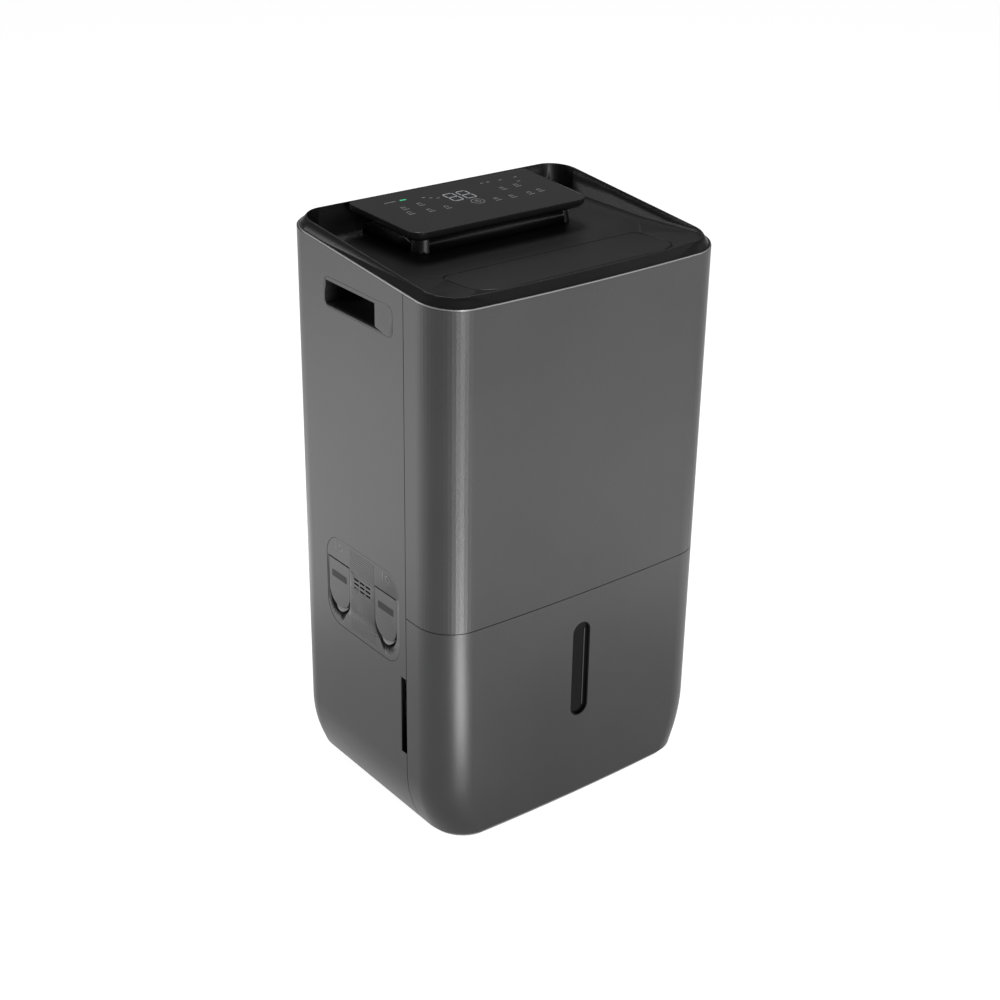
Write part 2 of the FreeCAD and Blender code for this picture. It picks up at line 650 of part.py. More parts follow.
def air_path():
    """Blower in its scroll, the duct up to the outlet, and the guard under the louvre."""
    z, y0, y1 = size("fan_z"), size("scroll_front_y"), size("scroll_rear_y")
    radius, wall = size("scroll_radius"), size("scroll_wall")
    throat = size("outlet_half_width")
    depth = y1 - y0
    top = z + radius + 8

    def spiral(shrink, front, length):
        drum = Part.makeCylinder(radius - shrink, length, Vector(0, front, z), Vector(0, 1, 0))
        neck = block_of(-10 + shrink, radius - shrink, front, front + length, z, top)
        return drum.fuse(neck).removeSplitter()

    scroll = spiral(0, y0, depth).cut(spiral(wall, y0 + wall, depth - 2 * wall))
    scroll = scroll.cut(Part.makeCylinder(size("fan_radius") - 14, 12, Vector(0, y1 - 6, z), Vector(0, 1, 0)))
    scroll = scroll.cut(Part.makeCylinder(42, 12, Vector(0, y0 - 6, z), Vector(0, 1, 0)))
    outlet = block_of(-10 + wall, radius - wall, y0 + wall, y1 - wall, top - 10, top + 10)
    node("fan_scroll", made("fan_scroll", scroll.cut(outlet)))

    def rectangle(x0, x1, low_y, high_y, height, tilt=0):
        corners = [Vector(x0, low_y, 0), Vector(x1, low_y, 0), Vector(x1, high_y, 0), Vector(x0, high_y, 0)]
        for corner in corners:
            corner.z = height + (corner.y - low_y) * tilt
        return Part.makePolygon(corners + corners[:1])

    base, end = top + 0.3, rim_height(-75) - 11
    outside = Part.makeLoft([
        rectangle(-10, radius, y0, y1, base), rectangle(-throat - 2, throat + 2, y0, y1 - 2, end)], True, True)
    inside = Part.makeLoft([
        rectangle(-10 + wall, radius - wall, y0 + wall, y1 - wall, base - 0.01),
        rectangle(-throat, throat, y0 + wall, y1 - 2 - wall, end + 0.01)], True, True)
    node("outlet_duct", made("outlet_duct", outside.cut(inside)))

    guard_z = end + 0.3
    frame = block_of(-throat - 2, throat + 2, y0, y1 - 2, guard_z, guard_z + 2.4)
    gaps = []
    bars = 11
    pitch = (2 * throat - 4) / bars
    for i in range(bars):
        left = -throat + 2 + i * pitch
        for row in range(2):
            low = y0 + 3 + row * (depth - 8) / 2
            gaps.append(block_of(left + 1.2, left + pitch - 1.2, low + 1, low + (depth - 8) / 2 - 1, guard_z - 1, guard_z + 4))
    for gap in gaps:
        frame = frame.cut(gap)
    node("outlet_grille", made("outlet_grille", frame))

    blades, fan, width = 30, size("fan_radius"), size("fan_width")
    front = size("fan_front_y")
    back_plate = Part.makeCylinder(fan, 2, Vector(0, front, z), Vector(0, 1, 0))
    back_plate = back_plate.cut(Part.makeCylinder(46, 2, Vector(0, front, z), Vector(0, 1, 0)))
    cup = Part.makeCylinder(48, 24, Vector(0, front, z), Vector(0, 1, 0))
    cup = cup.cut(Part.makeCylinder(46, 22, Vector(0, front, z), Vector(0, 1, 0)))
    cup = cup.cut(Part.makeCylinder(4.05, 40, Vector(0, front, z), Vector(0, 1, 0)))
    ring = Part.makeCylinder(fan, 3, Vector(0, front + width - 3, z), Vector(0, 1, 0))
    ring = ring.cut(Part.makeCylinder(fan - 3, 3, Vector(0, front + width - 3, z), Vector(0, 1, 0)))
    wheel = [back_plate, cup, ring]
    for i in range(blades):
        blade = block_of(fan - 15, fan - 0.5, front + 1, front + width - 1, -0.8, 0.8)
        blade.rotate(Vector(fan - 8, 0, 0), Vector(0, 1, 0), 32)
        blade.rotate(Vector(0, 0, 0), Vector(0, 1, 0), 360 * i / blades)
        blade.translate(Vector(0, 0, z))
        wheel.append(blade)
    node("blower_wheel", made("blower_wheel", wheel[0].fuse(wheel[1:])))

    motor_profile = [
        ("0", "0"), ("36", "0"), ("38", "3"), ("38", "12"), ("50", "12"), ("50", "15.7"), ("38", "15.7"),
        ("38", "30"), ("34", "34"), ("12", "34"), ("12", "36"),
        ("4", "36"), ("4", "52"), ("0", "52"),
    ]
    node("fan_motor", turned("fan_motor", "y", ("0", "front_flat_y + 6", "fan_z"), motor_profile))


def heat_exchangers():
    """Two finned coils with their tubes, the drip tray under them and its drain."""
    half, low, high, depth = (size(key) for key in ("coil_half_width", "coil_low", "coil_high", "coil_depth"))
    radius = size("tube_radius")
    rows = 7
    pitch = (high - low) / rows
    for name in ("condenser", "evaporator"):
        y = size(name + "_y")
        fins = block_of(-half, half, y, y + depth, low, high)
        tubes = []
        for i in range(rows):
            height = low + pitch * (i + 0.5)
            fins = fins.cut(Part.makeCylinder(radius, 2 * half, Vector(-half, y + depth / 2, height), Vector(1, 0, 0)))
            tubes.append(Part.makeCylinder(radius, 2 * half + 20, Vector(-half - 10, y + depth / 2, height), Vector(1, 0, 0)))
        for i in range(rows - 1):
            x = half + 6 if i % 2 == 0 else -half - 14
            height = low + pitch * (i + 0.5)
            tubes.append(block_of(x, x + 8, y + depth / 2 - 4, y + depth / 2 + 4, height - 4, height + pitch + 4))
        node(name + "_fins", made(name + "_fins", fins))
        node(name + "_tubes", made(name + "_tubes", tubes[0].fuse(tubes[1:]).removeSplitter()))

    tray_box = box("tray_outer", ("-coil_half_width - 14", "coil_half_width + 14"), ("condenser_y - 4", "evaporator_y + coil_depth + 6"), ("coil_low - 16", "coil_low - 1"))
    tray_hollow = box("tray_inner", ("-coil_half_width - 12", "coil_half_width + 12"), ("condenser_y - 2", "evaporator_y + coil_depth + 4"), ("coil_low - 14", "coil_low + 1"))
    drain = rod("tray_drain", "z", ("40", "condenser_y + 4", "coil_low - 20"), "4.2", "10")
    node("drip_tray", cut("drip_tray", tray_box, tray_hollow, drain))

    tray_y, level = size("condenser_y") + 4, low - 21.2
    drop = Part.makeCylinder(3.5, 9, Vector(40, tray_y, level))
    run = Part.makeCylinder(3.5, tray_y + 20, Vector(40, -20, level), Vector(0, 1, 0))
    spout = Part.makeCylinder(3.5, 24, Vector(40, -20, level - 24))
    bends = [Part.makeSphere(3.5, Vector(40, y, level)) for y in (-20, tray_y)]
    hose = drop.fuse([run, spout] + bends)
    node("drain_hose", made("drain_hose", hose))


# ---------------------------------------------------------------- refrigeration and water

def pipe(places, radius):
    """A round pipe through a row of places, with a ball at every bend."""
    places = [Vector(*place) for place in places]
    pieces = [Part.makeCylinder(radius, (b - a).Length, a, b - a) for a, b in zip(places, places[1:])]
    pieces += [Part.makeSphere(radius, place) for place in places[1:-1]]
    return pieces[0].fuse(pieces[1:]).removeSplitter()


def machinery():
    """Compressor with its accumulator and feet, the pipes, the drier and the water pump."""
    profile = [
        ("0", "0"), ("compressor_radius - 10", "0"), ("compressor_radius", "8"),
        ("compressor_radius", "compressor_high - compressor_low - 22"),
        ("compressor_radius - 16", "compressor_high - compressor_low"), ("0", "compressor_high - compressor_low"),
    ]
    node("compressor", turned("compressor", "z", ("compressor_x", "compressor_y", "compressor_low"), profile))
    bottle = [("0", "0"), ("12", "0"), ("22", "10"), ("22", "110"), ("12", "122"), ("0", "122")]
    node("accumulator", turned("accumulator", "z", ("compressor_x + 74", "compressor_y + 10", "70"), bottle))
    feet = [
        rod(f"mount_{i}", "z", (f"compressor_x + {round(32 * math.cos(turn), 3)}", f"compressor_y + {round(32 * math.sin(turn), 3)}", "floor_top + 0.2"), "8", "compressor_low - floor_top - 0.4")
        for i, turn in enumerate(math.radians(90 + 120 * i) for i in range(3))
    ]
    node("compressor_mounts", join("compressor_mounts", feet))

    x, y, top = size("compressor_x"), size("compressor_y"), size("compressor_high") + 0.2
    tube_end, side = size("coil_half_width") + 10.2, 147
    pitch = (size("coil_high") - size("coil_low")) / 7
    last, first = size("coil_high") - pitch / 2, size("coil_low") + pitch / 2
    hot_y, cold_y = (size(key) + size("coil_depth") / 2 for key in ("condenser_y", "evaporator_y"))
    discharge = [(x - 14, hot_y, top), (x - 14, hot_y, 246), (side, hot_y, 246), (side, hot_y, last), (tube_end, hot_y, last)]
    suction = [
        (tube_end, cold_y, last), (side, cold_y, last), (side, cold_y, 232), (x + 74, y + 10, 232), (x + 74, y + 10, 192.2),
    ]
    liquid = [
        (-tube_end, hot_y, first), (-141, hot_y, first), (-141, 101, first), (-141, 101, 238), (-95, 95, 238), (-95, 95, 216.2),
    ]
    capillary = [
        (-95, 95, 145.8), (-95, 95, 126), (-125, 88, 126), (-125, 88, 248), (-141, cold_y, 248), (-141, cold_y, first),
        (-tube_end, cold_y, first),
    ]
    runs = [pipe(discharge, 4), pipe(suction, 5), pipe(liquid, 2.5), pipe(capillary, 1.6)]
    node("refrigerant_pipes", made("refrigerant_pipes", Part.makeCompound(runs)))
    drier = [("0", "0"), ("4", "0"), ("9", "6"), ("9", "64"), ("4", "70"), ("0", "70")]
    node("filter_drier", turned("filter_drier", "z", ("-95", "95", "146"), drier))
    pump = box("pump_body", ("-66", "-20"), ("20", "70"), ("floor_top + 22", "floor_top + 70"))
    pump_feet = [
        box(f"pump_foot_{i}", (f"{foot_x} - 5", f"{foot_x} + 5"), ("24", "34"), ("floor_top + 0.2", "floor_top + 22"))
        for i, foot_x in enumerate((-58, -28))
    ]
    pump_neck = rod("pump_neck", "z", ("-54", "flap_rear_y", "floor_top + 69"), "4", "12")
    node("water_pump", join("water_pump", [pump, pump_neck] + pump_feet))

    hose_radius, hose_y = 3, size("flap_rear_y")
    start_z, top_z = size("floor_top") + 81.2, size("spout_z")
    end_x = -size("half_width") + 22.2
    hose = Part.makeCylinder(hose_radius, top_z - start_z, Vector(-54, hose_y, start_z))
    over = Part.makeCylinder(hose_radius, -54 - end_x, Vector(end_x, hose_y, top_z), Vector(1, 0, 0))
    hose = hose.fuse([over, Part.makeSphere(hose_radius, Vector(-54, hose_y, top_z))])
    node("pump_hose", made("pump_hose", hose))


def electrics():
    """Mains board, capacitor, humidity sensor, tank switch and the cord's inlet."""
    node("control_board", box("control_board", ("124", "146"), ("-96", "-36"), ("306", "446")))
    node("run_capacitor", rod("run_capacitor", "z", ("136", "0", "306"), "12", "60"))
    node("humidity_sensor", box("humidity_sensor", ("-half_width + 20", "-half_width + 26"), ("7", "26"), ("234", "251")))
    body = box("tank_switch_body", ("76", "88"), ("bulkhead_y - 6", "bulkhead_y - 0.2"), ("208", "228"))
    node("tank_switch", body)
    gland_profile = [
        ("4", "-10"), ("6.9", "-10"), ("6.9", "0"), ("10", "0"), ("10", "3"), ("6.9", "3"), ("6.9", "5.7"), ("4", "5.7"),
    ]
    node("cord_gland", turned("cord_gland", "y", ("108", "rear_y - 5.7", "76"), gland_profile))


# ---------------------------------------------------------------- rear intake

def intake():
    """The lift-off rear grille with its filter frame and mesh behind it."""
    half, low, high = "intake_half_width", "intake_low", "intake_high"
    frame = box("grille_frame", (f"-{half} + 0.4", f"{half} - 0.4"), ("rear_y - 4", "rear_y"), (f"{low} + 0.4", f"{high} - 0.4"))
    rows = 22
    slots = []
    for i in range(rows):
        base = f"{low} + 8 + {i} * ({high} - {low} - 14) / {rows}"
        for side in (-1, 1):
            x = (f"-{half} + 8", "-3") if side < 0 else ("3", f"{half} - 8")
            slots.append(box(f"grille_slot_{i}_{side + 1}", x, ("rear_y - 5", "rear_y + 1"), (base, f"{base} + 6")))
    node("rear_grille", cut("rear_grille", frame, *slots))
    outer = box("filter_outer", (f"-{half} + 3", f"{half} - 3"), ("rear_y - 9.2", "rear_y - 4.2"), (f"{low} + 3", f"{high} - 3"))
    windows = []
    for i in range(2):
        for j in range(3):
            x0 = f"-{half} + 10 + {i} * ({half} - 6)"
            z0 = f"{low} + 10 + {j} * ({high} - {low} - 14) / 3"
            windows.append(box(f"filter_window_{i}_{j}", (x0, f"{x0} + {half} - 14"), ("rear_y - 10", "rear_y"),
                               (z0, f"{z0} + ({high} - {low} - 14) / 3 - 6")))
    node("filter_frame", cut("filter_frame", outer, *windows))
    mesh = box("filter_mesh", (f"-{half} + 5", f"{half} - 5"), ("rear_y - 10.2", "rear_y - 9.4"), (f"{low} + 5", f"{high} - 5"))
    node("filter_mesh", mesh)


# ---------------------------------------------------------------- top cover and controls

def rounded_plan(half_front, half_rear, front, rear, front_radius, rear_radius):
    """A flat outline seen from above, as a wire at z = 0, with rounded corners."""
    corners = [
        Vector(-half_rear, rear, 0), Vector(-half_front, front, 0),
        Vector(half_front, front, 0), Vector(half_rear, rear, 0),
    ]
    prism = Part.Face(Part.makePolygon(corners + corners[:1])).extrude(Vector(0, 0, 10))
    for radius, side in ((front_radius, front), (rear_radius, rear)):
        upright = [
            edge for edge in prism.Edges
            if edge.BoundBox.ZLength > 9 and abs(edge.CenterOfMass.y - side) < 0.01
        ]
        prism = prism.makeFillet(radius, upright)
    return next(face for face in prism.Faces if face.BoundBox.ZMax < 0.01).OuterWire


def above_dish(lift):
    """Everything above the dished floor of the top cover, raised by lift."""
    front, far = size("front_flat_y") - size("front_crown") + 3, size("half_width")
    floor = size("dish_floor")
    corners = [
        Vector(-far, front, size("dish_front") + lift), Vector(-far, size("dish_bend_y"), floor + lift),
        Vector(-far, far, floor + lift), Vector(-far, far, TALL), Vector(-far, front, TALL),
    ]
    return Part.Face(Part.makePolygon(corners + corners[:1])).extrude(Vector(2 * far, 0, 0))


def louvre_prism(gap):
    half, front, rear = size("louvre_half_width") - gap, size("louvre_front_y") + gap, size("louvre_rear_y") - gap
    wire = rounded_plan(
        half, half, front, rear, size("louvre_front_radius") - gap, size("louvre_rear_radius") - gap
    )
    return Part.Face(wire).extrude(Vector(0, 0, TALL))


def dish_height(y):
    """Height of the dished floor at a place ahead of its bend."""
    front = size("front_flat_y") - size("front_crown") + 3
    part = (y - front) / (size("dish_bend_y") - front)
    return size("dish_front") + part * (size("dish_floor") - size("dish_front"))


def top_cover():
    """The black lid: a bevelled band on the rim round a dished top, with the air outlet."""
    front = size("front_flat_y") - size("front_crown")
    slope = math.degrees(math.atan2(size("rim_rear") - size("rim_front"), size("rear_y") - front))

    def rim_wire(inset, lift):
        return plan_wire(size("half_width") - inset, inset, lift)

    band = Part.makeLoft([rim_wire(1.2, 0.2), rim_wire(size("band_inset"), size("band_rise"))], True, True)
    middle = Vector(0, 0, rim_height(0))
    band.translate(middle)
    band.rotate(middle, Vector(1, 0, 0), slope)
    plug = cabinet_form(size("wall") + 1.8).common(below_rim(1)).common(above_dish(-2.6))
    dish = cabinet_form(size("dish_inset")).common(above_dish(0))
    cover = band.fuse(plug).cut(dish)
    pivot_y, pivot_z = size("louvre_pivot_y"), dish_height(size("louvre_pivot_y")) - 1.7
    for sign in (-1, 1):
        low = min(sign * (size("louvre_half_width") - 3), sign * (size("louvre_half_width") + 5))
        boss = block_of(low, low + 8, pivot_y - 4, pivot_y + 4, pivot_z - 5, pivot_z + 0.5)
        cover = cover.fuse(boss)
    cover = cover.cut(louvre_prism(0))
    cover = cover.cut(Part.makeCylinder(1.09, 260, Vector(-130, pivot_y, pivot_z), Vector(1, 0, 0)))
    cover = cover.cut(block_of(-20, 20, 60, 80, 500, TALL))
    node("top_cover", made("top_cover", cover.removeSplitter()))

    leaf = louvre_prism(size("louvre_gap")).cut(above_dish(0)).common(above_dish(-3))
    pin_reach = size("louvre_half_width") + 3
    inner = size("louvre_half_width") - 14
    for sign in (-1, 1):
        start = inner if sign > 0 else -pin_reach
        leaf = leaf.fuse(Part.makeCylinder(1, pin_reach - inner, Vector(start, pivot_y, pivot_z), Vector(1, 0, 0)))
    node("louvre", made("louvre", leaf.removeSplitter()))
    motor = box("louvre_motor", ("louvre_half_width + 6", "louvre_half_width + 20"),
                ("louvre_pivot_y - 9", "louvre_pivot_y + 9"), ("dish_floor - 28", "dish_floor - 8"))
    node("louvre_motor", motor)


def tilted(shape, lift):
    """Lay a flat shape on the plane of the control slab, which falls to the front."""
    rise = size("slab_rear_z") - size("slab_front_z")
    run = size("slab_rear_y") - size("slab_front_y")
    pivot = Vector(0, size("slab_front_y"), size("slab_front_z"))
    shape = shape.copy()
    shape.translate(Vector(0, 0, pivot.z + lift))
    shape.rotate(pivot, Vector(1, 0, 0), math.degrees(math.atan2(rise, run)))
    return shape


def slab_outline(inset):
    return rounded_plan(
        size("slab_half_front") - inset, size("slab_half_rear") - inset,
        size("slab_front_y") + inset, size("slab_rear_y") - inset, 14 - inset, 8 - inset / 2)


def controls():
    """The floating control slab on its narrow neck, under one sheet of dark glass."""
    thick, glass = size("slab_thickness"), 1.6
    slab = Part.Face(slab_outline(0)).extrude(Vector(0, 0, thick))
    under = [edge for edge in slab.Edges if edge.BoundBox.ZMax < 0.01]
    slab = slab.makeChamfer(4, under)
    recess = Part.Face(slab_outline(1.4)).extrude(Vector(0, 0, 5))
    recess.translate(Vector(0, 0, thick - glass))
    bay = block_of(-80, 80, size("slab_front_y") + 20, size("slab_rear_y") - 18, 3, thick)
    slab = slab.cut(recess).cut(bay)
    node("control_panel_base", made("control_panel_base", tilted(slab, -thick)))
    sheet_glass = Part.Face(slab_outline(1.5)).extrude(Vector(0, 0, glass - 0.1))
    node("control_panel_glass", made("control_panel_glass", tilted(sheet_glass, -glass + 0.1)))
    board = block_of(-78, 78, size("slab_front_y") + 22, size("slab_rear_y") - 20, 0, 1.6)
    node("display_board", made("display_board", tilted(board, -glass - 2)))

    front, rear = size("slab_front_y") + 10, size("slab_rear_y") - 4
    foot = rounded_plan(94, 97, front, rear, 14, 10)
    head = rounded_plan(86, 90, front + 7, rear - 4, 10, 8)
    foot.translate(Vector(0, 0, size("dish_floor") + 0.1))
    head.translate(Vector(0, 0, size("dish_floor") + 40))
    neck = Part.makeLoft([foot, head], True, True)
    clear = tilted(block_of(-200, 200, -200, 300, 0, 100), -thick - 0.1)
    neck = neck.cut(clear).cut(block_of(-18, 18, 62, 78, 500, TALL))
    node("control_pedestal", made("control_pedestal", neck))


def screws():
    """Six pan-head screws, sunk in seats, that hold the rear case to the chassis."""
    pieces = []
    for x, z in screw_places():
        pieces.append(rod(f"screw_head_{x + 200}_{z}", "y", (str(x), "rear_y - 1.2", str(z)), "3.6", "1"))
        pieces.append(rod(f"screw_shank_{x + 200}_{z}", "y", (str(x), "rear_y - 11", str(z)), "1.5", "10"))
    node("case_screws", join("case_screws", pieces))


# ---------------------------------------------------------------- build and write

cabinet_walls()
hand_grips()
drain_panel()
chassis()
casters()
water_tank()
air_path()
heat_exchangers()
machinery()
electrics()
intake()
top_cover()
controls()
screws()
doc.recompute()

for thing in doc.Objects:
    if "Invalid" in thing.State or "Error" in thing.State:
        raise RuntimeError(f"{thing.Name} did not build: {thing.State}")
for thing in NODES:
    if thing.Shape.isNull() or not thing.Shape.isValid():
        raise RuntimeError(f"{thing.Label} has no valid shape")

os.makedirs("parts", exist_ok=True)
for thing in NODES:
    thing.Shape.exportStep(f"parts/{thing.Label}.step")
print(f"{len(NODES)} sub-parts written")
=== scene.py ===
import bmesh
import bpy
import math
from mathutils import Matrix, Vector


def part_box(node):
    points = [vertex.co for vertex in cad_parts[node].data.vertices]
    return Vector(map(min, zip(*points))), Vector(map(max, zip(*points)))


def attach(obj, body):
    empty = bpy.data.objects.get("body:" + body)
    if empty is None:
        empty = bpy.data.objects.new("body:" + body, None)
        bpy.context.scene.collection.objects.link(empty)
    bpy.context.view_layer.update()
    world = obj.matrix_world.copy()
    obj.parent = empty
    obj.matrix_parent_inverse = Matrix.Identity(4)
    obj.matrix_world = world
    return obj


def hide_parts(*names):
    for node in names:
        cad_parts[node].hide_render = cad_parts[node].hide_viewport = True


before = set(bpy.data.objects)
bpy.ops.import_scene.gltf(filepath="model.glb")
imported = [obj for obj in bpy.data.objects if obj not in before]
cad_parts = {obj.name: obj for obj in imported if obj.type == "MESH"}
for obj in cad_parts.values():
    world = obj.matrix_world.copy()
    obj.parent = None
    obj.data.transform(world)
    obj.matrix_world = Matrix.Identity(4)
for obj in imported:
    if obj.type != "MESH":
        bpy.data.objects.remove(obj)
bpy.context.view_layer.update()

# The cabinet: a front panel, a rear case that is both sides and the back, and the tank's cover.
# They are injection moulded in graphite ABS with fine metallic flake and a satin surface, and
# meet at hairline seams. The same finish is on the hand grips, the drain panel and its flaps.


SMOOTH_UP_TO = 32
OBJECT_COORDINATES = 3


class Wire:
    """One output in a material's nodes, so that shader maths reads as a plain expression."""

    def __init__(self, tree, socket=None):
        self.tree, self.socket = tree, socket

    def node(self, kind, settings, sockets, output=0):
        """Add a node of a type, with its settings first and then its sockets' values or links."""
        made = self.tree.nodes.new(kind)
        for name, value in settings.items():
            setattr(made, name, value)
        for name, value in sockets.items():
            if isinstance(value, Wire):
                self.tree.links.new(value.socket, made.inputs[name])
            else:
                made.inputs[name].default_value = value
        return Wire(self.tree, made.outputs[output])

    def maths(self, operation, first, second=0.0):
        return self.node("ShaderNodeMath", {"operation": operation}, {0: first, 1: second})

    def __add__(self, other):
        return self.maths("ADD", self, other)

    def __mul__(self, other):
        return self.maths("MULTIPLY", self, other)

    def __sub__(self, other):
        return self.maths("SUBTRACT", self, other)

    def __rsub__(self, other):
        return self.maths("SUBTRACT", other, self)

    def __gt__(self, other):
        return self.maths("GREATER_THAN", self, other)

    __radd__, __rmul__ = __add__, __mul__

    def noise(self, where, scale, detail=2.0):
        return self.node("ShaderNodeTexNoise", {}, {"Vector": where, "Scale": scale, "Detail": detail})

    def between(self, low, high):
        """A colour between two, by this value."""
        sockets = {0: self, 6: (*low, 1), 7: (*high, 1)}
        return self.node("ShaderNodeMix", {"data_type": "RGBA"}, sockets, output=2)


def material(name, low, high, rough, grain, bump, speckle=0.0, stretch=(1, 1, 1), **constant):
    """A finish: two close colours mixed by soft mottling, with a grain in its bump and gloss."""
    mottling_scale, fleck_size, fleck_cut = 9.0, 0.6, 0.62
    made = bpy.data.materials.new(name)
    made.use_nodes = True
    tree = made.node_tree
    shader = tree.nodes["Principled BSDF"]
    for socket, value in constant.items():
        shader.inputs[socket.replace("_", " ")].default_value = value
    pen = Wire(tree)
    place = pen.node("ShaderNodeTexCoord", {}, {}, output=OBJECT_COORDINATES)
    place = pen.node("ShaderNodeMapping", {}, {"Vector": place, "Scale": stretch})
    mottling = pen.noise(place, mottling_scale)
    grains = pen.noise(place, grain, 3.0)
    flecks = pen.noise(place, grain * fleck_size, 1.0) > fleck_cut
    shade = mottling * 0.5 + grains * 0.35 + flecks * speckle
    tree.links.new(shade.between(low, high).socket, shader.inputs["Base Color"])
    gloss = grains * (rough * 0.22) + mottling * (rough * 0.12) + rough * 0.83
    tree.links.new(gloss.socket, shader.inputs["Roughness"])
    if bump:
        relief = pen.node("ShaderNodeBump", {}, {"Strength": bump, "Distance": 0.0004, "Height": grains})
        tree.links.new(relief.socket, shader.inputs["Normal"])
    return made


def finish(made, *names):
    """Give a material to CAD nodes."""
    for name in names:
        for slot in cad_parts[name].material_slots:
            slot.material = made


def add(name, form, made, body):
    """Turn a finished bmesh into a piece that rides on a body."""
    mesh = bpy.data.meshes.new(name)
    form.to_mesh(mesh)
    form.free()
    mesh.materials.append(made)
    mesh.shade_smooth()
    mesh.set_sharp_from_angle(angle=math.radians(SMOOTH_UP_TO))
    piece = bpy.data.objects.new(name, mesh)
    bpy.context.scene.collection.objects.link(piece)
    even = piece.modifiers.new("even_shading", "WEIGHTED_NORMAL")
    even.keep_sharp = True
    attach(piece, body)
    return piece


def smoothed(name, made, body):
    """A CAD node again, with its triangles joined so that its curves shade smoothly."""
    form = bmesh.new()
    form.from_mesh(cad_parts[name].data)
    bmesh.ops.remove_doubles(form, verts=form.verts, dist=0.000002)
    piece = add(name + "_skin", form, made, body)
    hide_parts(name)
    return piece


graphite = material(
    "graphite_moulding", (0.040, 0.040, 0.0405), (0.060, 0.060, 0.061), 0.40, 1900.0, 0.08,
    speckle=0.25, Metallic=0.88, Specular_IOR_Level=0.4,
)
smoothed("front_panel", graphite, "case")
smoothed("rear_case", graphite, "case")
smoothed("tank_front", graphite, "tank")

# The rim strip: a thin raised strip that lies on the cabinet's upper edge, between the graphite
# wall and the black top cover. Its pale colour is a painted highlight of the graphite's top edge.
case_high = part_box("rear_case")[1]
front_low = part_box("front_panel")[0]
half_width, depth = case_high.x, case_high.y - front_low.y
centre_y = (case_high.y + front_low.y) / 2
rim_slope = 0.0235 / 0.257
crown, crowned_length, crown_cuts = 0.005, 0.05, 24
strip_margin, strip_width, strip_height, strip_lift = 0.0003, 0.0012, 0.0013, 0.00005
strip_radius = 0.0372


def slab_face(form, width, length, radius, segments):
    """Add a flat rectangle with rounded corners, as one face round the origin."""
    grid = bmesh.ops.create_grid(form, x_segments=1, y_segments=1, size=0.5)
    bmesh.ops.scale(form, vec=(width, length, 1), verts=grid["verts"])
    bmesh.ops.bevel(
        form, geom=grid["verts"], offset=radius, offset_type="OFFSET", segments=segments,
        profile=0.5, affect="VERTICES", material=-1,
    )


def thicken(form, faces, rise):
    """Raise a copy of a flat sheet's faces, with walls down to the sheet, and return its points."""
    raised = bmesh.ops.extrude_face_region(form, geom=faces)
    top = [item for item in raised["geom"] if isinstance(item, bmesh.types.BMVert)]
    bmesh.ops.translate(form, vec=(0, 0, rise), verts=top)
    return top


def runs_across(edge):
    """True of the long edges from left to right."""
    first, second = edge.verts[0].co, edge.verts[1].co
    return edge.calc_length() > half_width and abs(first.y - second.y) < strip_width


rim_strip = bmesh.new()
slab_face(rim_strip, 2 * (half_width - strip_margin), depth - 2 * strip_margin, strip_radius, 16)
bmesh.ops.subdivide_edges(rim_strip, edges=[edge for edge in rim_strip.edges if runs_across(edge)], cuts=crown_cuts)
ring = bmesh.ops.inset_region(rim_strip, faces=rim_strip.faces[:], thickness=strip_width, depth=0, use_boundary=True)
inside = [face for face in rim_strip.faces if face not in set(ring["faces"])]
bmesh.ops.delete(rim_strip, geom=inside, context="FACES")
thicken(rim_strip, rim_strip.faces[:], strip_height)
bmesh.ops.recalc_face_normals(rim_strip, faces=rim_strip.faces)
for vert in rim_strip.verts:
    if vert.co.y < -depth / 2 + crowned_length:
        vert.co.y += crown * (vert.co.x / half_width) ** 2
    vert.co.y += centre_y
    vert.co.z += case_high.z - (case_high.y - vert.co.y) * rim_slope + strip_lift
# The strip's pale colour is a painted highlight along the cabinet's top edge, not a part of its own.
rim_highlight_paint = material(
    "rim_highlight_strip", (0.15, 0.15, 0.152), (0.20, 0.20, 0.202), 0.34, 1500.0, 0.05, Metallic=0.8,
)
add("rim_highlight_strip", rim_strip, rim_highlight_paint, "case")

# The hand grips: each is a graphite cup let into the side wall, with a small relief mark of two
# posts under a bar where its plate runs on towards the front.
smoothed("handle_cup_left", graphite, "case")
smoothed("handle_cup_right", graphite, "case")
relief = material("relief_mark", (0.11, 0.11, 0.112), (0.15, 0.15, 0.152), 0.45, 1500.0, 0.05)
relief_height, relief_line, relief_sink, ring_sink = 0.0003, 0.0007, 0.00016, 0.00022


def bar(form, place, size):
    """A small block at a place."""
    made = bmesh.ops.create_cube(form, size=1)
    bmesh.ops.scale(form, vec=size, verts=made["verts"])
    bmesh.ops.translate(form, vec=place, verts=made["verts"])
    return made["verts"]


def hoop(form, place, radius, width, height, turn):
    """A flat ring, turned to lie on a face."""
    rim = bmesh.ops.create_circle(form, cap_ends=True, radius=radius, segments=28)["verts"]
    face = rim[0].link_faces[0]
    inner = bmesh.ops.inset_region(form, faces=[face], thickness=width, depth=0, use_boundary=True)
    band = inner["faces"]
    bmesh.ops.delete(form, geom=[face], context="FACES")
    top = thicken(form, band, height)
    verts = list({vert for face in band for vert in face.verts} | set(top))
    bmesh.ops.rotate(form, cent=(0, 0, 0), matrix=turn, verts=verts)
    bmesh.ops.translate(form, vec=place, verts=verts)


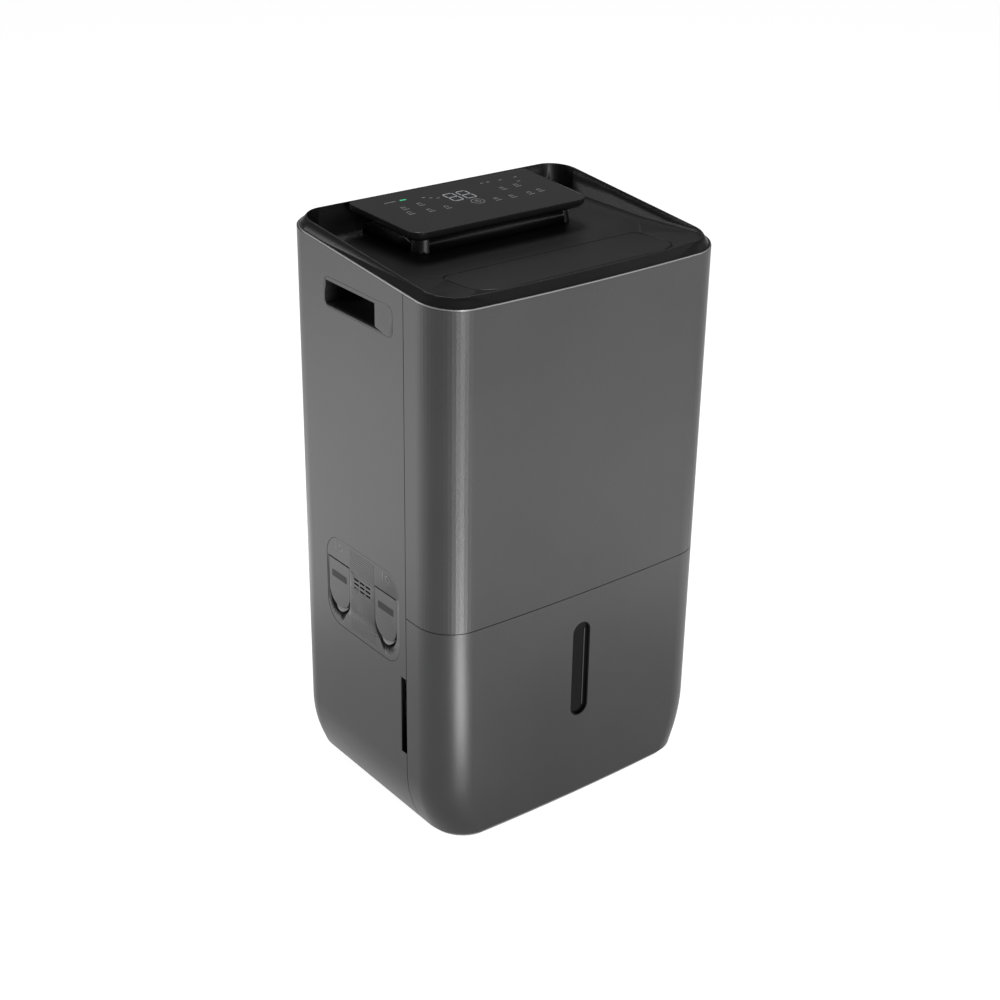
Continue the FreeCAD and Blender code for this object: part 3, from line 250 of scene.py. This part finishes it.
TO_LEFT = Matrix.Rotation(math.radians(-90), 3, "Y")
cup_low, cup_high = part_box("handle_cup_left")
cup_z = (cup_low.z + cup_high.z) / 2
mark_y, lintel_rise, lintel_length = cup_low.y + 0.014, 0.0045, 0.009
post_gap, post_drop, post_height = 0.003, 0.001, 0.008
for side, sign in (("left", -1), ("right", 1)):
    mark = bmesh.new()
    face_x = sign * (half_width - relief_sink)
    bar(mark, (face_x, mark_y, cup_z + lintel_rise), (relief_height, lintel_length, relief_line))
    for dy in (-post_gap, post_gap):
        bar(mark, (face_x, mark_y + dy, cup_z - post_drop), (relief_height, relief_line, post_height))
    add(f"grip_mark_{side}", mark, relief, "case")

# The drain panel in the left wall: a graphite insert with fine ribs, nine vent slots in front of
# the humidity sensor, and two hinged flaps over the hose fittings. Each flap has a near-black sheet of
# painted shade for its sunk field, a relief mark above it, and a fingertip scoop under its lower end,
# coloured pale as a painted highlight.
smoothed("service_panel", graphite, "case")
ribs = bmesh.new()
panel_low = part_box("service_panel")[0]
rib_count, rib_pitch, rib_margin = 37, 0.0024, 0.006
rib_sink, rib_middle, rib_length, rib_width = 0.00047, 0.00625, 0.0415, 0.0009
vents_low, vents_high = 0.2425, 0.2575
for i in range(rib_count):
    z = panel_low.z + rib_margin + i * rib_pitch
    if not vents_low < z < vents_high:
        bar(ribs, (-half_width + rib_sink, rib_middle, z), (rib_width, rib_length, rib_width))
lighter = material(
    "ribbed_insert", (0.055, 0.055, 0.056), (0.075, 0.075, 0.076), 0.40, 1700.0, 0.08, Metallic=0.8,
)
add("panel_ribs", ribs, lighter, "case")
# The scoops' pale colour is a painted highlight, the light that their upturned slope would catch.
scoop_highlight_paint = material(
    "scoop_painted_highlight", (0.30, 0.30, 0.303), (0.40, 0.40, 0.403), 0.34, 1500.0, 0.04,
)
# A near-black sheet on each flap: painted shade for the flap's sunk field.
field_shade_paint = material(
    "field_painted_shade", (0.006, 0.006, 0.006), (0.010, 0.010, 0.010), 0.5, 1500.0, 0.08,
    Specular_IOR_Level=0.15,
)
lip_steps, lip_start, lip_arc = 24, -150, 120
lip_depth, lip_wall, lip_reach, lip_edge, lip_spread = 0.0045, 0.0004, 0.0085, 0.0002, 0.45
lip_inset, lip_drop = 0.0008, 0.0016
field_width, field_length, field_drop, field_lift = 0.026, 0.0075, 0.0165, 0.00004
mark_rise, mark_spread = 0.017, 0.004


def scoop_lip(middle, bottom, radius):
    """The crescent under a flap's end: deep at the flap, and nearly flush at its outer edge."""
    form = bmesh.new()
    lip = []
    reach = radius - lip_inset
    for i in range(lip_steps + 1):
        angle = math.radians(lip_start + lip_arc / lip_steps * i)
        flare = lip_reach * math.sin(math.radians(180 / lip_steps * i)) + lip_edge
        for out, deep in ((0.0, 0.0), (0.0, lip_wall), (flare, lip_wall), (flare, 0.0)):
            lip.append(form.verts.new((
                -half_width + lip_depth + deep - out * lip_spread,
                middle + reach * math.cos(angle),
                bottom + radius - lip_drop + (reach + out * lip_spread) * math.sin(angle),
            )))
    for i in range(lip_steps):
        for k in range(4):
            first, second = 4 * i + k, 4 * i + (k + 1) % 4
            form.faces.new((lip[first], lip[second], lip[second + 4], lip[first + 4]))
    form.faces.new(lip[:4])
    form.faces.new(lip[-4:])
    bmesh.ops.recalc_face_normals(form, faces=form.faces)
    return form


for flap in ("pump_flap", "drain_flap"):
    smoothed(flap, graphite, flap + "_leaf")
    flap_low, flap_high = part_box(flap)
    middle = (flap_low.y + flap_high.y) / 2
    radius = (flap_high.y - flap_low.y) / 2
    add(flap + "_scoop", scoop_lip(middle, flap_low.z, radius), scoop_highlight_paint, "case")

    field = bmesh.new()
    slab_face(field, field_length, field_width, 0.001, 3)
    bmesh.ops.rotate(field, cent=(0, 0, 0), matrix=TO_LEFT, verts=field.verts)
    place = (flap_low.x - field_lift, middle, flap_high.z - field_drop)
    bmesh.ops.translate(field, vec=place, verts=field.verts)
    bmesh.ops.solidify(field, geom=field.faces[:], thickness=-field_lift)
    add(flap + "_field", field, field_shade_paint, flap + "_leaf")

    mark = bmesh.new()
    mark_z = flap_high.z + mark_rise
    ring_place = (-half_width + ring_sink, middle - mark_spread, mark_z)
    hoop(mark, ring_place, 0.0035, relief_line, 0.0002, TO_LEFT)
    bar(mark, (-half_width + relief_sink, middle + mark_spread, mark_z), (relief_height, 0.0008, 0.009))
    add(flap + "_mark", mark, relief, "case")

# The tank's window: a near-black lens behind a pill-shaped slot in the tank's cover, with a black
# bezel that lines the slot and a slim upright riser on the lens, which shows the water's level.
window_low, window_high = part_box("tank_window")
gloss_black = material(
    "gloss_black", (0.002, 0.002, 0.002), (0.005, 0.005, 0.005), 0.16, 900.0, 0.01,
    Specular_IOR_Level=0.06,
)
slab_black = material(
    "slab_black", (0.006, 0.006, 0.007), (0.014, 0.014, 0.015), 0.30, 2100.0, 0.06,
    Specular_IOR_Level=0.5,
)
UPRIGHT = Matrix.Rotation(math.radians(90), 3, "X")
slot_width, slot_height = 0.0216, 0.1066
slot_z = (window_low.z + window_high.z) / 2
bezel_width, bezel_depth, bezel_sink = 0.0011, 0.0045, 0.0002
bezel = bmesh.new()
slab_face(bezel, slot_width, slot_height, slot_width / 2 - 0.0001, 14)
bmesh.ops.inset_region(bezel, faces=bezel.faces[:], thickness=bezel_width, depth=0, use_boundary=True)
pane = max(bezel.faces, key=lambda face: face.calc_area())
bmesh.ops.delete(bezel, geom=[pane], context="FACES")
thicken(bezel, bezel.faces[:], -bezel_depth)
bmesh.ops.rotate(bezel, cent=(0, 0, 0), matrix=UPRIGHT, verts=bezel.verts)
bmesh.ops.translate(bezel, vec=(0, front_low.y + bezel_sink, slot_z), verts=bezel.verts)
bmesh.ops.recalc_face_normals(bezel, faces=bezel.faces)
add("window_bezel", bezel, gloss_black, "tank")
finish(gloss_black, "tank_window")
riser_x, riser_width, riser_depth, riser_length = 0.0055, 0.0011, 0.0004, 0.088
riser = bmesh.new()
bar(riser, (riser_x, window_low.y - riser_depth, slot_z), (riser_width, riser_depth, riser_length))
add("window_riser", riser, slab_black, "tank")

# The top: a black moulded cover with a bevelled edge and a dished floor, the motor-driven louvre
# set flush in it, and the pedestal. All are fine-grained black ABS, and so are the grilles, the
# filter's frame, the cord gland and the hose fittings.
black = material(
    "black_moulding", (0.0035, 0.0035, 0.004), (0.011, 0.011, 0.012), 0.36, 2100.0, 0.14,
    Specular_IOR_Level=0.32,
)
smoothed("top_cover", black, "case")
smoothed("louvre", black, "louvre_leaf")
smoothed("control_pedestal", black, "case")
finish(black, "outlet_grille", "rear_grille", "filter_frame", "cord_gland", "drain_spigot", "pump_connector")

# The control slab: a thin black tray on the pedestal with a sheet of smoked glass bonded in it.
# The display, the green lamp, the ring key and the touch marks are printed on the glass; the display and the
# lamp glow, and the ring key and the touch marks carry a faint painted glow.
smoked = material(
    "smoked_glass", (0.016, 0.016, 0.017), (0.022, 0.022, 0.023), 0.20, 600.0, 0.01,
    Specular_IOR_Level=0.45,
)
smoothed("control_panel_base", slab_black, "case")
smoothed("control_panel_glass", smoked, "case")


def lit(name, colour, strength):
    """A printed mark with a little emission: its own light for the display and the lamp, a painted glow for
    the ring key and the touch marks.
    """
    made = material(name, tuple(0.7 * part for part in colour), colour, 0.4, 1500.0, 0.0)
    shader = made.node_tree.nodes["Principled BSDF"]
    shader.inputs["Emission Color"].default_value = (*colour, 1)
    shader.inputs["Emission Strength"].default_value = strength
    return made


glass_thickness, print_lift, print_height = 0.0015, 0.00002, 0.00012
glass_low, glass_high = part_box("control_panel_glass")
fall = (glass_high.z - glass_low.z - glass_thickness) / (glass_high.y - glass_low.y)
lean = Matrix.Rotation(math.atan(fall), 3, "X")


def on_glass(x, y):
    """A place on the top of the glass, from a place in millimetres seen from above."""
    return Vector((x / 1000, y / 1000, glass_high.z - (glass_high.y - y / 1000) * fall + print_lift))


def marks(name, made, strokes, hoops=()):
    """Flat printed marks in millimetres: strokes are x, y, width, length, hoops are x, y, radius, width."""
    form = bmesh.new()
    for x, y, wide, long in strokes:
        verts = bar(form, (0, 0, print_height / 2), (wide / 1000, long / 1000, print_height))
        bmesh.ops.rotate(form, cent=(0, 0, 0), matrix=lean, verts=verts)
        bmesh.ops.translate(form, vec=on_glass(x, y), verts=verts)
    for x, y, radius, width in hoops:
        hoop(form, on_glass(x, y), radius / 1000, width / 1000, print_height, lean)
    add(name, form, made, "case")


digit_middles, digit_bars, upright_rows = (-10.2, 5.6), (62.5, 73, 83.5), (67.7, 78.3)
digit_half, bar_length, upright_length, segment_width = 5.4, 9.4, 8.6, 1.2
digit_strokes = []
for middle in digit_middles:
    for y in digit_bars:
        digit_strokes.append((middle, y, bar_length, segment_width))
    for x in (middle - digit_half, middle + digit_half):
        for y in upright_rows:
            digit_strokes.append((x, y, segment_width, upright_length))
marks("display_digits", lit("display_white", (0.50, 0.51, 0.53), 0.22), digit_strokes)
lamp_y = 90.4
marks("power_lamp", lit("lamp_green", (0.05, 0.62, 0.28), 0.55), [(-57, lamp_y, 7, 2)])
# The ring key and the touch marks are print; their emission is a painted glow that brightens them.
faint_painted_glow = lit("touch_marks_painted_glow", (0.30, 0.30, 0.305), 0.14)
key_x, key_y = 3.2, 50.9
key_rings = [(key_x, key_y, 7.0, 0.8), (key_x, key_y, 3.2, 0.6)]
marks("power_key", faint_painted_glow, [(key_x, key_y + 1.3, 0.9, 3.2)], key_rings)
icon_places = (
    (-73, 56), (-52, 53), (-33, 52), (23, 47), (41, 46), (62, 45), (76, 47),
    (-70, 70), (-50, 72), (48, 70), (66, 71),
)
dash_places = ((-36, 86), (-30, 82), (-24, 78), (40, 93), (47, 93), (62, 92), (81, 92), (76, 80))
icon_strokes = [(-72, lamp_y, 13, 1.2)]
for x, y in icon_places:
    icon_strokes += [(x - 1.6, y + 1, 0.8, 4.4), (x + 1.6, y + 1, 0.8, 4.4)]
    icon_strokes += [(x, y + 3.2, 4, 0.8), (x, y - 3.8, 7, 1.0)]
for x, y in dash_places:
    icon_strokes.append((x, y, 3.6, 1.2))
marks("touch_marks_painted_glow", faint_painted_glow, icon_strokes)

# The chassis under the skin: the floor tray over the casters, the bulkhead behind the tank, the
# shelf, the fan with its scroll and duct, and the tank's lid, handle and switch, all moulded in
# plain grey polypropylene.
chassis = material("chassis_grey", (0.12, 0.12, 0.122), (0.18, 0.18, 0.184), 0.55, 700.0, 0.18)
finish(chassis, "base_tray", "tank_bulkhead", "mid_shelf", "fan_scroll", "outlet_duct", "drip_tray")
finish(chassis, "tank_lid", "tank_handle", "humidity_sensor", "tank_switch", "blower_wheel")

# The tank's tub: hazy, half-clear polypropylene, with an off-white foam float in it.
haze = material("tub_haze", (0.50, 0.53, 0.55), (0.62, 0.65, 0.67), 0.42, 300.0, 0.08, Alpha=0.62)
foam = material("float_foam", (0.74, 0.73, 0.69), (0.86, 0.85, 0.81), 0.75, 900.0, 0.35)
finish(haze, "tank_tub")
finish(foam, "tank_float")

# The casters: hard black wheels on zinc-plated swivel forks, pushed into the floor tray.
wheel_black = material("wheel_black", (0.012, 0.012, 0.013), (0.03, 0.03, 0.032), 0.5, 800.0, 0.2)
zinc = material(
    "zinc_plate", (0.42, 0.42, 0.43), (0.60, 0.60, 0.61), 0.34, 500.0, 0.08,
    stretch=(1, 1, 6), Metallic=1.0,
)
for place in ("front_left", "front_right", "rear_left", "rear_right"):
    finish(wheel_black, f"caster_wheel_{place}")
    finish(zinc, f"caster_fork_{place}")

# The refrigeration and the electrics inside: enamelled steel compressor, drawn copper pipes,
# aluminium fins, rubber hoses and feet, the pump, the boards, and the plated motors and screws.
# The filter's net is here too.
enamel = material(
    "black_enamel", (0.006, 0.006, 0.007), (0.016, 0.016, 0.017), 0.32, 260.0, 0.2, Coat_Weight=0.4,
)
copper = material("drawn_copper", (0.46, 0.20, 0.11), (0.72, 0.36, 0.22), 0.30, 500.0, 0.06, Metallic=1.0)
fins = material(
    "fin_stack", (0.32, 0.33, 0.34), (0.80, 0.81, 0.83), 0.38, 420.0, 0.6,
    stretch=(6, 0.05, 0.05), Metallic=0.9,
)
rubber = material("black_rubber", (0.010, 0.010, 0.010), (0.026, 0.026, 0.026), 0.72, 600.0, 0.3)
ivory = material("pump_ivory", (0.55, 0.54, 0.50), (0.68, 0.67, 0.63), 0.5, 700.0, 0.12)
green_board = material("solder_mask", (0.006, 0.05, 0.02), (0.03, 0.16, 0.07), 0.4, 240.0, 0.3)
net = material("filter_net", (0.01, 0.01, 0.011), (0.06, 0.06, 0.064), 0.8, 800.0, 0.8)
finish(enamel, "compressor", "accumulator")
finish(copper, "condenser_tubes", "evaporator_tubes", "refrigerant_pipes", "filter_drier")
finish(fins, "condenser_fins", "evaporator_fins")
finish(rubber, "compressor_mounts", "drain_hose", "pump_hose")
finish(zinc, "fan_motor", "run_capacitor", "louvre_motor", "case_screws")
finish(ivory, "water_pump")
finish(green_board, "control_board", "display_board")
finish(net, "filter_mesh")

# The studio: a plain white floor with three flush lights in it, a dim even sky, three softboxes
# round the object and one overhead. The floor's own glow keeps it white.
floor_form = bmesh.new()
bmesh.ops.create_grid(floor_form, x_segments=1, y_segments=1, size=60)
floor_mesh = bpy.data.meshes.new("studio_floor")
floor_form.to_mesh(floor_mesh)
floor_form.free()
floor_white = bpy.data.materials.new("floor_white")
floor_white.use_nodes = True
floor_shader = floor_white.node_tree.nodes["Principled BSDF"]
floor_shader.inputs["Base Color"].default_value = (0.5, 0.5, 0.5, 1)
floor_shader.inputs["Roughness"].default_value = 0.9
floor_shader.inputs["Specular IOR Level"].default_value = 0.0
floor_shader.inputs["Emission Color"].default_value = (1, 1, 1, 1)
floor_shader.inputs["Emission Strength"].default_value = 0.90
floor_mesh.materials.append(floor_white)
floor = bpy.data.objects.new("studio_floor", floor_mesh)
bpy.context.scene.collection.objects.link(floor)

world = bpy.data.worlds.new("studio_sky")
world.use_nodes = True
world.node_tree.nodes["Background"].inputs["Color"].default_value = (1, 1, 1, 1)
world.node_tree.nodes["Background"].inputs["Strength"].default_value = 0.16
bpy.context.scene.world = world


def softbox(name, place, aim, width, height, power):
    """A rectangular studio light at a place, facing a point."""
    lamp = bpy.data.lights.new(name, "AREA")
    lamp.shape = "RECTANGLE"
    lamp.size, lamp.size_y, lamp.energy = width, height, power
    holder = bpy.data.objects.new(name, lamp)
    holder.location = place
    holder.rotation_euler = (Vector(place) - Vector(aim)).to_track_quat("Z", "Y").to_euler()
    bpy.context.scene.collection.objects.link(holder)


def floor_glow(name, x, y, width, length, turn, power):
    """A flush light in the floor, which the walls mirror because the camera looks down on them."""
    above_floor = 0.003
    softbox(name, (x, y, above_floor), (x, y, 1), width, length, power)
    bpy.data.objects[name].rotation_euler = (math.pi, 0, math.radians(turn))


floor_glow("front_runner", -0.29, -0.95, 0.13, 1.3, -11, 8.0)
floor_glow("front_right_field", 0.62, -0.95, 1.0, 1.3, 38, 4.6)
floor_glow("left_rear_field", -0.80, 0.80, 1.0, 1.3, 38, 5.0)
cabinet_middle = (0, 0, 0.3)
softbox("front_strip", (-0.40, -2.4, 0.60), cabinet_middle, 0.35, 1.2, 30)
softbox("left_rear_box", (-2.2, 1.5, 0.2), cabinet_middle, 1.1, 2.2, 46)
softbox("front_right_box", (2.2, -1.8, 0.3), cabinet_middle, 1.0, 2.2, 26)
softbox("overhead", (0.4, 1.2, 2.4), (0, 0, 0.5), 1.4, 1.0, 18)

turn, rise, roll = math.radians(-38.25), math.radians(25.93), math.radians(0.94)
back = Vector((math.sin(turn) * math.cos(rise), -math.cos(turn) * math.cos(rise), math.sin(rise)))
right = Vector((math.cos(turn), math.sin(turn), 0))
up = back.cross(right)
rolled_right = right * math.cos(roll) + up * math.sin(roll)
rolled_up = up * math.cos(roll) - right * math.sin(roll)
aim, distance = Vector((-0.149, -0.184, 0.4148)), 1.5425
lens = bpy.data.cameras.new("camera")
lens.sensor_width = 36
lens.lens = 64.24
camera = bpy.data.objects.new("camera", lens)
axes = Matrix((rolled_right, rolled_up, back)).transposed().to_4x4()
camera.matrix_world = Matrix.Translation(aim + back * distance) @ axes
bpy.context.scene.collection.objects.link(camera)
bpy.context.scene.camera = camera
bpy.context.scene.view_settings.view_transform = "Standard"
